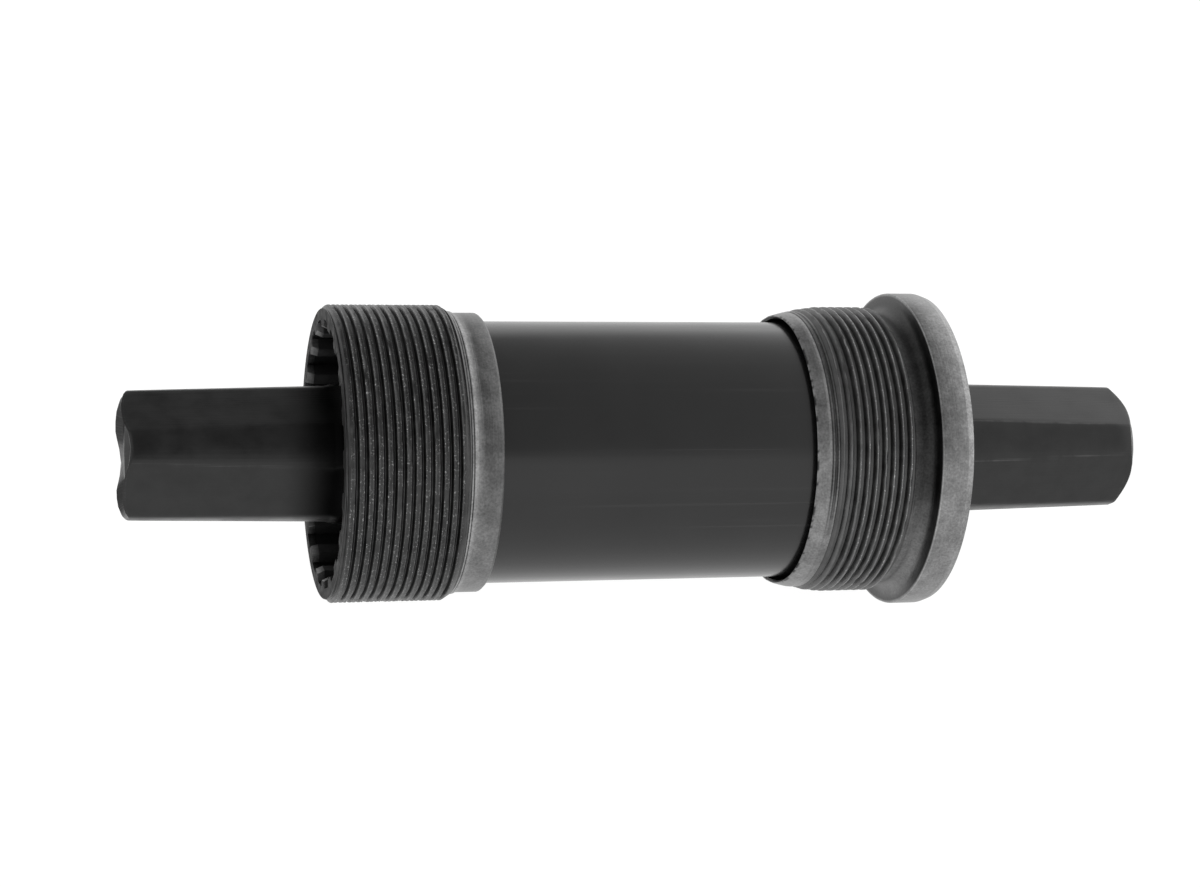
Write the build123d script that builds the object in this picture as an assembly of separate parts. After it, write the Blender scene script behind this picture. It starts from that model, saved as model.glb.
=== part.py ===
"""Sealed cartridge bottom bracket with a square-taper spindle, for a 68 mm shell cut 1.37 in x 24 TPI.

Units are millimetres. The spindle's axis is X and +X is the drive side. The origin is on that axis,
halfway between the spindle's two ends, and +Z is up. Every turned piece is an (x, r) outline revolved
about X, where x is a place along the axis and r a distance from it.
"""
from build123d import *
from math import cos, radians, sin, tan
import os

# Spindle
SPINDLE_LENGTH = 124.0
TIP_X = SPINDLE_LENGTH / 2
TAPER_TIP_FLATS = 12.7          # across the flats at the tip
TAPER_LEAN = radians(2)         # of each flat towards the axis
TAPER_LENGTH = 23.6             # of the flats, measured from the tip
RUNOUT_R = 6.0                  # of the cutter, where a flat rises to the round shaft
RUNOUT_RISE = radians(60)
CORNER_TIP_R = 7.45             # the square's corners are turned to a slight cone
CORNER_BASE_R = 7.95
TIP_CHAMFER = 1.25              # radial, over TIP_CHAMFER_LENGTH of the tip
TIP_CHAMFER_LENGTH = 0.8
SHAFT_R = 8.2
SHAFT_BLEND = 1.0               # cone between the shaft and the square's corners
JOURNAL_R = 8.5                 # seats of the bearings
SHOULDER_R = 9.6
SHOULDER_LENGTH = 2.6
WAIST_R = 8.2

# Holes for the M8 x 1 crank bolts
BOLT_HOLE_R = 3.5
BOLT_HOLE_DEPTH = 22.0
DRILL_POINT = 2.1
COUNTERSINK_R = 5.9
COUNTERSINK_DEPTH = 1.6

# Bearings, 17 x 30 x 7 sealed on both sides
LEFT_BEARING_X = -23.5          # middle of each bearing
RIGHT_BEARING_X = 22.4
BEARING_WIDTH = 7.0
BEARING_OUTER_R = 15.0
BALL_COUNT = 11
BALL_R = 3.969 / 2
PITCH_R = 11.75                 # circle through the centres of the balls
RACE_R = BALL_R + 0.035         # cross-section of both raceways
INNER_LAND_R = 10.5
OUTER_LAND_R = 13.0
INNER_SEAT_R = 9.9              # steps at both ends of the races, where the seals run and sit
INNER_SEAT_DEPTH = 1.0
OUTER_SEAT_R = 13.7
OUTER_SEAT_DEPTH = 0.8
RACE_CHAMFER = 0.3
SEAL_THICKNESS = 0.6
LIP_GAP = 0.08                  # between a seal's lip and what turns in it

# Crown cages, open on one side so that the balls snap in
CAGE_INNER_R = 10.75
CAGE_OUTER_R = 12.75
CAGE_BACK = 2.45                # from the middle of the balls to the closed side
CAGE_FRONT = 0.9
POCKET_R = BALL_R + 0.06

# Retaining rings for a 17 mm shaft
RING_GROOVE_R = 8.1
RING_GROOVE_WIDTH = 1.1
RING_THICKNESS = 1.0
RING_OUTER_R = 9.9
RING_OPENING = radians(24)      # half of the angle left open between the lugs
LUG_R = 1.5
LUG_HOLE_R = 0.75
LUG_PITCH_R = 10.3

# Cartridge
SLEEVE_R = 15.5
SLEEVE_LIP_R = 14.0             # bore of the formed end that holds the left bearing
SLEEVE_LIP = 2.2
SPACER_BORE_R = 13.9
EDGE = 0.25                     # chamfer of plain turned edges

# Dust seals, outboard of each bearing
DUST_SEAL_GAP = 0.15            # from the retaining ring beside it
DUST_SEAL_WIDTH = 1.0
DUST_SEAL_WEB = 0.5
DUST_SEAL_RIM = 0.9

# Thread of both cups, 1.37 in x 24 TPI with 60 degree flanks
THREAD_R = 17.4
THREAD_PITCH = 25.4 / 24
CREST_FLAT = 0.14
ROOT_FLAT = 0.17
THREAD_DEPTH = (THREAD_PITCH - CREST_FLAT - ROOT_FLAT) / 2 / tan(radians(30))
ROOT_R = THREAD_R - THREAD_DEPTH

# Fixed cup, drive side
NOSE_X = 16.7
NOSE_R = 16.35                  # at the nose's face, from where it widens to the thread's root
NOSE_TAPER = 1.9
NOSE_MOUTH_R = 16.2
NOSE_BORE_R = 16.0              # open gap round the sleeve
NOSE_BORE_DEPTH = 3.3
FIXED_FIRST_CREST_X = 19.58
FIXED_CREST_COUNT = 9
RELIEF_R = 16.5                 # undercut between the thread and the flange
RELIEF_FILLET = 1.4
FLANGE_X = 31.2                 # face that seats on the frame's shell
FLANGE_THICKNESS = 4.0
FLANGE_OUTER_X = FLANGE_X + FLANGE_THICKNESS
FLANGE_R = 19.1
FLANGE_BEVEL = 0.45             # radial, over FLANGE_BEVEL_LENGTH of the rim
FLANGE_BEVEL_LENGTH = 0.85

# Adapter cup, non-drive side
ADAPTER_OUTER_X = -38.6
ADAPTER_INNER_X = -20.5
ADAPTER_LAND_R = 16.9           # plain edge outboard of the thread
ADAPTER_LAND_X = -37.6
ADAPTER_COLLAR_R = 16.5
ADAPTER_FIRST_CREST_X = -36.85
ADAPTER_CREST_COUNT = 12
ADAPTER_CLEARANCE = 0.15        # all round the sleeve, and at its end

# Tool sockets in the mouths of both cups
SPLINE_COUNT = 20
SPLINE_ROOT_R = 15.7
SPLINE_TIP_R = 14.5
SPLINE_TIP_WIDTH = 1.5
SPLINE_ROOT_WIDTH = 2.4
SPLINE_FOOT = 0.2               # how far a tooth's section runs into the wall behind it
CUP_LIP_R = 14.0                # inward lip behind each socket
ADAPTER_LIP = 1.25
MOUTH_CHAMFER = 0.4

# Places along the axis that follow
HALF_BEARING = BEARING_WIDTH / 2
SLEEVE_LEFT_X = LEFT_BEARING_X - HALF_BEARING - SLEEVE_LIP
SLEEVE_RIGHT_X = RIGHT_BEARING_X + HALF_BEARING
ADAPTER_BOTTOM_X = SLEEVE_LEFT_X - ADAPTER_CLEARANCE
ADAPTER_SOCKET_X = ADAPTER_BOTTOM_X - ADAPTER_LIP
DUST_SEAL_OFFSET = HALF_BEARING + RING_THICKNESS + DUST_SEAL_GAP
FIXED_SOCKET_X = SLEEVE_RIGHT_X + RING_THICKNESS + DUST_SEAL_GAP + DUST_SEAL_WIDTH


def turned(outline, rounded=()):
    """Solid of revolution about X from a closed (x, r) outline, with some corners rounded."""
    face = make_face(Polyline(*outline, close=True))
    for corner, radius in rounded:
        vertex = face.vertices().sort_by_distance((*corner, 0))[0]
        face = fillet(vertex, radius)
    return revolve(face, Axis.X)


def mirrored(side, outline):
    """The outline of the drive side (side 1), or its mirror image (side -1)."""
    return [(side * x, r) for x, r in outline]


def pipe(left_x, right_x, inner_r, outer_r, chamfer):
    """Plain turned ring or tube with its four edges broken."""
    return turned([
        (left_x, inner_r + chamfer),
        (left_x, outer_r - chamfer),
        (left_x + chamfer, outer_r),
        (right_x - chamfer, outer_r),
        (right_x, outer_r - chamfer),
        (right_x, inner_r + chamfer),
        (right_x - chamfer, inner_r),
        (left_x + chamfer, inner_r),
    ])


def across_axis(x):
    """Plane across the axis at x, which looks along +X."""
    return Plane(origin=(x, 0, 0), x_dir=(0, 1, 0), z_dir=(1, 0, 0))


# Cups


def thread_ridges(first_crest_x, count):
    """(x, r) points of the thread's ridges, from the foot of the first to the foot of the last."""
    half_base = (THREAD_PITCH - ROOT_FLAT) / 2
    points = []
    for i in range(count):
        crest_x = first_crest_x + i * THREAD_PITCH
        points += [
            (crest_x - half_base, ROOT_R),
            (crest_x - CREST_FLAT / 2, THREAD_R),
            (crest_x + CREST_FLAT / 2, THREAD_R),
            (crest_x + half_base, ROOT_R),
        ]
    return points


def spline_tooth():
    """Section of one tooth of a tool socket."""
    foot_r = SPLINE_ROOT_R + SPLINE_FOOT
    return make_face(Polyline(
        (-SPLINE_TIP_WIDTH / 2, SPLINE_TIP_R),
        (SPLINE_TIP_WIDTH / 2, SPLINE_TIP_R),
        (SPLINE_ROOT_WIDTH / 2, foot_r),
        (-SPLINE_ROOT_WIDTH / 2, foot_r),
        close=True,
    ))


def tool_socket(bottom_x, mouth_x):
    """The splined space that the fitting tool enters, as a solid to cut away."""
    section = Circle(SPLINE_ROOT_R)
    for i in range(SPLINE_COUNT):
        section -= Rot(0, 0, 360 / SPLINE_COUNT * i) * spline_tooth()
    return extrude(across_axis(bottom_x) * section, mouth_x - bottom_x)


def fixed_cup():
    nose_bore_end = NOSE_X + NOSE_BORE_DEPTH
    relief_start = FIXED_FIRST_CREST_X + FIXED_CREST_COUNT * THREAD_PITCH - ROOT_FLAT
    relief_corner = (FLANGE_X, RELIEF_R)
    blank = turned(
        [
            (NOSE_X, NOSE_MOUTH_R),
            (NOSE_X, NOSE_R),
            (NOSE_X + NOSE_TAPER, ROOT_R),
            *thread_ridges(FIXED_FIRST_CREST_X, FIXED_CREST_COUNT),
            (relief_start, RELIEF_R),
            relief_corner,
            (FLANGE_X, FLANGE_R - EDGE),
            (FLANGE_X + EDGE, FLANGE_R),
            (FLANGE_OUTER_X - FLANGE_BEVEL_LENGTH, FLANGE_R),
            (FLANGE_OUTER_X, FLANGE_R - FLANGE_BEVEL),
            (FLANGE_OUTER_X, SPLINE_ROOT_R + MOUTH_CHAMFER),
            (FLANGE_OUTER_X - MOUTH_CHAMFER, SPLINE_ROOT_R),
            (FLANGE_OUTER_X - MOUTH_CHAMFER, CUP_LIP_R),
            (SLEEVE_RIGHT_X, CUP_LIP_R),
            (SLEEVE_RIGHT_X, SLEEVE_R),
            (nose_bore_end, SLEEVE_R),
            (nose_bore_end, NOSE_BORE_R),
            (NOSE_X + NOSE_MOUTH_R - NOSE_BORE_R, NOSE_BORE_R),
        ],
        rounded=[(relief_corner, RELIEF_FILLET)],
    )
    return blank - tool_socket(FIXED_SOCKET_X, FLANGE_OUTER_X)


def adapter_cup():
    bore_r = SLEEVE_R + ADAPTER_CLEARANCE
    collar_start = ADAPTER_FIRST_CREST_X + ADAPTER_CREST_COUNT * THREAD_PITCH - ROOT_FLAT
    blank = turned([
        (ADAPTER_OUTER_X, ADAPTER_LAND_R - EDGE),
        (ADAPTER_OUTER_X + EDGE, ADAPTER_LAND_R),
        (ADAPTER_LAND_X, ADAPTER_LAND_R),
        *thread_ridges(ADAPTER_FIRST_CREST_X, ADAPTER_CREST_COUNT),
        (collar_start, ADAPTER_COLLAR_R),
        (ADAPTER_INNER_X - EDGE, ADAPTER_COLLAR_R),
        (ADAPTER_INNER_X, ADAPTER_COLLAR_R - EDGE),
        (ADAPTER_INNER_X, bore_r),
        (ADAPTER_BOTTOM_X, bore_r),
        (ADAPTER_BOTTOM_X, CUP_LIP_R),
        (ADAPTER_OUTER_X + MOUTH_CHAMFER, CUP_LIP_R),
        (ADAPTER_OUTER_X + MOUTH_CHAMFER, SPLINE_ROOT_R),
        (ADAPTER_OUTER_X, SPLINE_ROOT_R + MOUTH_CHAMFER),
    ])
    return blank - tool_socket(ADAPTER_SOCKET_X, ADAPTER_OUTER_X)


# Cartridge


def cartridge_sleeve():
    """Thin tube, formed inwards at its left end over the left bearing."""
    seat_x = LEFT_BEARING_X - HALF_BEARING
    return turned([
        (SLEEVE_LEFT_X, SLEEVE_LIP_R),
        (SLEEVE_LEFT_X, SLEEVE_R - 2 * EDGE),
        (SLEEVE_LEFT_X + 2 * EDGE, SLEEVE_R),
        (SLEEVE_RIGHT_X, SLEEVE_R),
        (SLEEVE_RIGHT_X, BEARING_OUTER_R),
        (seat_x, BEARING_OUTER_R),
        (seat_x, SLEEVE_LIP_R),
    ])


def spacer_tube():
    """Tube that keeps the two outer races apart."""
    left_x = LEFT_BEARING_X + HALF_BEARING
    right_x = RIGHT_BEARING_X - HALF_BEARING
    return pipe(left_x, right_x, SPACER_BORE_R, BEARING_OUTER_R, EDGE)


def dust_seal(side, bearing_x):
    """Rubber ring between the cartridge and the spindle: a rim, a thin web and a lip."""
    inner = side * bearing_x + DUST_SEAL_OFFSET
    outer = inner + DUST_SEAL_WIDTH
    web_inner = outer - DUST_SEAL_WEB
    lip_r = SHAFT_R + LIP_GAP
    return turned(mirrored(side, [
        (inner, SLEEVE_LIP_R),
        (outer, SLEEVE_LIP_R),
        (outer, lip_r + DUST_SEAL_RIM),
        (outer - DUST_SEAL_WEB / 2, lip_r),
        (inner, lip_r),
        (inner, lip_r + DUST_SEAL_RIM),
        (web_inner, lip_r + DUST_SEAL_RIM + DUST_SEAL_WEB),
        (web_inner, SLEEVE_LIP_R - DUST_SEAL_RIM),
        (inner, SLEEVE_LIP_R - DUST_SEAL_RIM),
    ]))


# Bearings


def raceway(x):
    """The space of a raceway, as a solid to cut from either race."""
    return Location((x, 0, 0), (0, 90, 0)) * Torus(PITCH_R, RACE_R)


def inner_race(x):
    left_x = x - HALF_BEARING
    right_x = x + HALF_BEARING
    blank = turned([
        (left_x, JOURNAL_R + RACE_CHAMFER),
        (left_x, INNER_SEAT_R),
        (left_x + INNER_SEAT_DEPTH, INNER_SEAT_R),
        (left_x + INNER_SEAT_DEPTH, INNER_LAND_R),
        (right_x - INNER_SEAT_DEPTH, INNER_LAND_R),
        (right_x - INNER_SEAT_DEPTH, INNER_SEAT_R),
        (right_x, INNER_SEAT_R),
        (right_x, JOURNAL_R + RACE_CHAMFER),
        (right_x - RACE_CHAMFER, JOURNAL_R),
        (left_x + RACE_CHAMFER, JOURNAL_R),
    ])
    return blank - raceway(x)


def outer_race(x):
    left_x = x - HALF_BEARING
    right_x = x + HALF_BEARING
    blank = turned([
        (left_x, OUTER_SEAT_R),
        (left_x, BEARING_OUTER_R - RACE_CHAMFER),
        (left_x + RACE_CHAMFER, BEARING_OUTER_R),
        (right_x - RACE_CHAMFER, BEARING_OUTER_R),
        (right_x, BEARING_OUTER_R - RACE_CHAMFER),
        (right_x, OUTER_SEAT_R),
        (right_x - OUTER_SEAT_DEPTH, OUTER_SEAT_R),
        (right_x - OUTER_SEAT_DEPTH, OUTER_LAND_R),
        (left_x + OUTER_SEAT_DEPTH, OUTER_LAND_R),
        (left_x + OUTER_SEAT_DEPTH, OUTER_SEAT_R),
    ])
    return blank - raceway(x)


def balls(x, radius):
    """One ball for each place on the pitch circle."""
    return [
        Rot(360 / BALL_COUNT * i, 0, 0) * Pos(x, 0, PITCH_R) * Sphere(radius)
        for i in range(BALL_COUNT)
    ]


def ball_cage(side, x):
    """Moulded crown cage, closed on the side towards the other bearing."""
    centre = side * x
    blank = turned(mirrored(side, [
        (centre - CAGE_BACK, CAGE_INNER_R),
        (centre - CAGE_BACK, CAGE_OUTER_R),
        (centre + CAGE_FRONT, CAGE_OUTER_R),
        (centre + CAGE_FRONT, CAGE_INNER_R),
    ]))
    for pocket in balls(x, POCKET_R):
        blank -= pocket
    return blank


def bearing_seal(x, side):
    """Rubber-faced shield at the left (side -1) or right (side 1) of the bearing at x."""
    inner = side * x + HALF_BEARING - OUTER_SEAT_DEPTH
    outer = inner + SEAL_THICKNESS
    lip_r = INNER_SEAT_R + LIP_GAP
    step = SEAL_THICKNESS / 3
    return turned(mirrored(side, [
        (inner, OUTER_SEAT_R),
        (outer, OUTER_SEAT_R),
        (outer, OUTER_SEAT_R - SEAL_THICKNESS),
        (outer - step, OUTER_SEAT_R - SEAL_THICKNESS - step),
        (outer - step, lip_r + SEAL_THICKNESS),
        (outer, lip_r + SEAL_THICKNESS - step),
        (outer, lip_r),
        (inner, lip_r),
    ]))


# Spindle


def taper_cutter():
    """What is milled off above one flat of the drive side's taper, with the cutter's run-out."""
    tip_h = TAPER_TIP_FLATS / 2
    base_x = TIP_X - TAPER_LENGTH
    base_h = tip_h + TAPER_LENGTH * tan(TAPER_LEAN)
    clear = 1.0
    cutter_x = base_x + RUNOUT_R * sin(TAPER_LEAN)
    cutter_h = base_h + RUNOUT_R * cos(TAPER_LEAN)

    def on_cutter(angle):
        return (cutter_x - RUNOUT_R * sin(angle), cutter_h - RUNOUT_R * cos(angle))

    runout = ThreePointArc(
        on_cutter(TAPER_LEAN),
        on_cutter((TAPER_LEAN + RUNOUT_RISE) / 2),
        on_cutter(RUNOUT_RISE),
    )
    top_x, top_h = on_cutter(RUNOUT_RISE)
    rest = Polyline(
        (top_x, top_h),
        (top_x, top_h + clear),
        (TIP_X + clear, top_h + clear),
        (TIP_X + clear, tip_h - clear * tan(TAPER_LEAN)),
        on_cutter(TAPER_LEAN),
    )
    return extrude(Plane.XZ * make_face(runout + rest), SHOULDER_R, both=True)


def bolt_hole():
    """Drive side's blind hole for a crank bolt, with its drill point and countersink."""
    bottom_x = TIP_X - BOLT_HOLE_DEPTH
    return turned([
        (bottom_x - DRILL_POINT, 0),
        (bottom_x, BOLT_HOLE_R),
        (TIP_X - COUNTERSINK_DEPTH, BOLT_HOLE_R),
        (TIP_X, COUNTERSINK_R),
        (TIP_X, 0),
    ])


def spindle_end(race_inner_x, race_outer_x):
    """(x, r) points of the drive side's turned shape, from the waist out to the tip."""
    taper_x = TIP_X - TAPER_LENGTH
    shoulder_x = race_inner_x - SHOULDER_LENGTH
    groove_end_x = race_outer_x + RING_GROOVE_WIDTH
    return [
        (shoulder_x - (SHOULDER_R - WAIST_R), WAIST_R),
        (shoulder_x, SHOULDER_R),
        (race_inner_x, SHOULDER_R),
        (race_inner_x, JOURNAL_R),
        (race_outer_x, JOURNAL_R),
        (race_outer_x, RING_GROOVE_R),
        (groove_end_x, RING_GROOVE_R),
        (groove_end_x, SHAFT_R),
        (taper_x - SHAFT_BLEND, SHAFT_R),
        (taper_x, CORNER_BASE_R),
        (TIP_X - TIP_CHAMFER_LENGTH, CORNER_TIP_R),
        (TIP_X, CORNER_TIP_R - TIP_CHAMFER),
    ]


def spindle():
    left = spindle_end(-LEFT_BEARING_X - HALF_BEARING, -LEFT_BEARING_X + HALF_BEARING)
    right = spindle_end(RIGHT_BEARING_X - HALF_BEARING, RIGHT_BEARING_X + HALF_BEARING)
    body = turned([(-TIP_X, 0), *mirrored(-1, left)[::-1], *right, (TIP_X, 0)])
    for angle in (0, 90, 180, 270):
        cutter = Rot(angle, 0, 0) * taper_cutter()
        body -= cutter
        body -= mirror(cutter, Plane.YZ)
    body -= bolt_hole()
    body -= mirror(bolt_hole(), Plane.YZ)
    return body


def retaining_ring(inner_face_x, side):
    """External retaining ring with two pierced lugs either side of its opening."""
    opening = make_face(Polyline(
        (0, 0),
        (2 * RING_OUTER_R * sin(RING_OPENING), 2 * RING_OUTER_R * cos(RING_OPENING)),
        (-2 * RING_OUTER_R * sin(RING_OPENING), 2 * RING_OUTER_R * cos(RING_OPENING)),
        close=True,
    ))
    section = Circle(RING_OUTER_R) - Circle(RING_GROOVE_R) - opening
    lug_angle = RING_OPENING + LUG_R / LUG_PITCH_R
    for turn in (-1, 1):
        place = Pos(turn * LUG_PITCH_R * sin(lug_angle), LUG_PITCH_R * cos(lug_angle))
        lug = place * Circle(LUG_R) - Circle(JOURNAL_R)
        section += lug
        section -= place * Circle(LUG_HOLE_R)
    return extrude(across_axis(inner_face_x) * section, side * RING_THICKNESS)


def bearing_nodes(name, side, x):
    """Every piece that is at one bearing."""
    return {
        f"{name}_bearing_outer_race": outer_race(x),
        f"{name}_bearing_inner_race": inner_race(x),
        f"{name}_bearing_balls": Compound(children=balls(x, BALL_R)),
        f"{name}_ball_cage": ball_cage(side, x),
        f"{name}_bearing_outboard_seal": bearing_seal(x, side),
        f"{name}_bearing_inboard_seal": bearing_seal(x, -side),
        f"{name}_retaining_ring": retaining_ring(x + side * HALF_BEARING, side),
        f"{name}_dust_seal": dust_seal(side, x),
    }


nodes = {
    "spindle": spindle(),
    "cartridge_sleeve": cartridge_sleeve(),
    "spacer_tube": spacer_tube(),
    "fixed_cup": fixed_cup(),
    "adapter_cup": adapter_cup(),
    **bearing_nodes("left", -1, LEFT_BEARING_X),
    **bearing_nodes("right", 1, RIGHT_BEARING_X),
}

os.makedirs("parts", exist_ok=True)
for name, shape in nodes.items():
    export_step(shape, f"parts/{name}.step")
    print(f"{name}: {shape.volume:.1f} mm3")
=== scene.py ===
"""Looks of the sealed cartridge bottom bracket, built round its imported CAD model.

Meshes are worked out in millimetres and written in metres. X is the spindle's axis, +X the drive side.
An angle round the axis runs from +Y towards +Z, which is right-handed about +X. Every turned mesh
carries an "edge" value at its vertices, which its material reads: 0 in a hollow, 0.5 on plain surface,
1 on an edge or crest that wears.
"""
from math import acos, ceil, cos, exp, log, pi, radians, sin, sqrt, tan

import bmesh
import bpy
from mathutils import Matrix, Vector, noise


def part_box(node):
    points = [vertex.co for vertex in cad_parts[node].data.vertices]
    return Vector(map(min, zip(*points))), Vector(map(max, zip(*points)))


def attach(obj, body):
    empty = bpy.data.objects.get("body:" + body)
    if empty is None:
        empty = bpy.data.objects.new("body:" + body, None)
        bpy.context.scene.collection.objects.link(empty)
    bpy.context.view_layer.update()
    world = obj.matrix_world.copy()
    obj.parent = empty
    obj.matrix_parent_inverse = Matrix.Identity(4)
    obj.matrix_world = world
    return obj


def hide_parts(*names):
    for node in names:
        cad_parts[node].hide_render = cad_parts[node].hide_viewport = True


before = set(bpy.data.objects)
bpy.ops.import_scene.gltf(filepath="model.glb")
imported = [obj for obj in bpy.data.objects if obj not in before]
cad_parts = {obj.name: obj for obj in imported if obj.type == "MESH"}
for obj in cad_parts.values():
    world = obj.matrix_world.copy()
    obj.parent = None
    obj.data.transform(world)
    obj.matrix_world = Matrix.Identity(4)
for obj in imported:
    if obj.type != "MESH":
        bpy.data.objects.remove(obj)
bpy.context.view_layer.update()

MM = 0.001
FULL_TURN = 2 * pi
PLAIN = 0.5                    # edge value of plain surface
THREAD, BLACK = 1, 2           # a cup's material slots, after 0 for its plain metal
WELD = 2e-7                    # vertices nearer than this, in metres, become one
SHARP = radians(32)            # faces that meet at more than this show an edge
SPINDLE_SHARP = radians(24)


def node_span(node):
    """Lowest and highest x of a CAD node, in millimetres."""
    low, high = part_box(node)
    return low.x / MM, high.x / MM


# Driving dimensions, in millimetres. Places come from the frame where a node's box gives them.
TIP_X = node_span("spindle")[1]
ADAPTER_OUTER_X, ADAPTER_INNER_X = node_span("adapter_cup")
NOSE_X, FLANGE_OUTER_X = node_span("fixed_cup")
SLEEVE_LEFT_X, SLEEVE_RIGHT_X = node_span("cartridge_sleeve")
SLEEVE_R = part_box("cartridge_sleeve")[1].z / MM
FLANGE_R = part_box("fixed_cup")[1].z / MM
THREAD_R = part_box("adapter_cup")[1].z / MM

THREAD_PITCH = 25.4 / 24
THREAD_DEPTH = 0.648
ROOT_R = THREAD_R - THREAD_DEPTH
SPLINE_COUNT = 20
SPLINE_ROOT_R = 15.7
SPLINE_TIP_R = 14.5
SPLINE_TIP_HALF = radians(3.0)
SPLINE_ROOT_HALF = radians(4.4)
CUP_LIP_R = 14.0
MOUTH_CHAMFER = 0.4
MOUTH_CHAMFER_LENGTH = 0.8
SLEEVE_CLEARANCE = 0.15
ADAPTER_LIP = 1.25             # thickness of the lip at the bottom of each cup's socket
FIXED_LIP = 2.15
ADAPTER_FACE = 0.15            # from the adapter's outer end to the start of its thread
ADAPTER_FIRST_CREST = 1.75     # from its outer end, on the side that faces the camera
GROOVE_FILL = 0.13             # grime in the bottom of the adapter's thread
COLLAR_LENGTH = 3.9
COLLAR_R = 16.5
FLANGE_X = 31.2
RELIEF_R = 16.5
RELIEF_LENGTH = 2.55
RELIEF_FILLET = 1.4
FLANGE_BEVEL = 0.3
FLANGE_BEVEL_LENGTH = 0.85
NOSE_LENGTH = 2.65
NOSE_R = 16.35
NOSE_TAPER = 1.55
NOSE_BORE_R = 16.0
NOSE_BORE_DEPTH = 3.3
NOSE_MOUTH_R = 16.2
FIXED_FIRST_CREST = 2.88       # from the nose's end, on the side that faces the camera
RUN_IN_LINES = 2
RUN_IN_PITCH = 0.57
SLEEVE_SEGMENTS = 240
SLEEVE_ROUNDING = 0.5
SLEEVE_END = 8                 # length of each end's own faces
BEARING_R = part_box("left_bearing_outer_race")[1].z / MM
LEFT_SEAT_X = node_span("left_bearing_outer_race")[0]

SHAFT_R = 8.2
SHOULDER_R = 9.6
SHOULDER_WIDTH = 2.6
SHOULDER_CHAMFER = 1.4
JOURNAL_R = 8.5
RING_GROOVE_R = 8.1
RING_GROOVE_WIDTH = 1.1
TAPER_X = TIP_X - 23.6
TAPER_TIP_H = 6.35
TAPER_LEAN = radians(2)
RUNOUT_R = 6.0
RUNOUT_LENGTH = 5.3
LEAST_FLAT_HALF = 0.04         # radians, for the rings where the spindle is round
CORNER_TIP_R = 7.45
CORNER_BASE_R = 7.95
CORNER_BLEND = 1.0             # the shaft narrows to the corners in this length
TIP_CHAMFER = {-1: 0.3, 1: 1.25}         # each by its side, left and right
TIP_CHAMFER_LENGTH = {-1: 0.25, 1: 0.8}
TIP_LAG = {-1: 0.75, 1: 0.15}            # how far the forging left the corners short of the flats
TIP_LAG_START = 2.5                      # from the tip
TIP_LAG_RISE = 1.7                       # length in which it grows to its full
TIP_LAG_FLAT = 0.25                      # share of a flat's half width that it leaves alone
TIP_DISH = {-1: 0.9, 1: 0.0}             # how far the end face sinks towards the countersink
COUNTERSINK_R = 5.9
COUNTERSINK_DEPTH = 1.6
EDGE_ROUNDING = 0.05
EDGE_WEAR = 0.1                # how far the wear reaches from an edge
BOLT_THREAD_R = 3.95
BOLT_MINOR_R = 3.5
BOLT_PITCH = 1.0
BOLT_THREAD_LENGTH = 17.5
BOLT_THREAD_END = 0.3
BOLT_HOLE_DEPTH = 22.0
DRILL_POINT = 2
DRILL_POINT_R = 0.15
HOLE_FLAT_HALF = 0.5           # spacing of the bolt hole's vertices, as square_angles takes it

# Nicks and chips. A scale is how fast its noise varies, and a level is where a mark begins.
NICK_ALONG = 1.1
NICK_AROUND = 0.55
NICK_LEVEL = 0.28
NICK_DEPTH = 0.55
RIPPLE_SCALE = 5.3
RIPPLE_DEPTH = 0.035
RAGGED_SCALE = 11
RAGGED_DEPTH = 0.09
CHIP_SCALE = 23
CHIP_LEVEL = -0.05
COATED_EDGE = 0.05
BARE_EDGE = 0.65

# Lower front of the turn: run-in lines worn shallower there, and cup colour lightened as a painted
# reflection
FRONT_BAND_MIDDLE = radians(205)
FRONT_BAND_HALF = radians(48)
FRONT_BAND_FADE = radians(28)

# Camera: where it stands from the part, solved from the picture's perspective
CAMERA_ELEVATION = radians(38.5)
CAMERA_X = -84.61
CAMERA_DISTANCE = 297.98
CAMERA_YAW = radians(14.94)
CAMERA_TILT = radians(0.167)
CAMERA_ROLL = radians(-0.558)
SENSOR_WIDTH = 36.0
LENS = 77.12
CLIP_START = 0.01              # metres
FACING_CAMERA = pi - CAMERA_ELEVATION

FLOOR_HALF = 3.0               # metres
FLOOR_GAP = 0.05
NOISE_LOW, NOISE_HIGH = 0.3, 0.7  # most of a noise texture lies between these


# Mesh building


def clamped(value):
    return min(max(value, 0.0), 1.0)


def angles_for_splines():
    """Angles of every ring of a cup: the same few in each spline's share of the turn.

    They stand closest on both sides of a tooth's corners, at 3.0 and 4.4 degrees from its middle.
    """
    share = FULL_TURN / SPLINE_COUNT
    half = [0.0, 1.4, 2.85, 3.15, 4.25, 4.55, 6.0, 7.5]
    offsets = sorted([radians(-a) for a in half[1:]] + [radians(a) for a in half] + [share / 2])
    return [share * i + offset for i in range(SPLINE_COUNT) for offset in offsets]


def even_angles(count):
    return [FULL_TURN / count * i for i in range(count)]


def on_axis_circle(x, r, angle):
    """Point at x along the axis and r from it, in metres."""
    return Vector((x, r * cos(angle), r * sin(angle))) * MM


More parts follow.
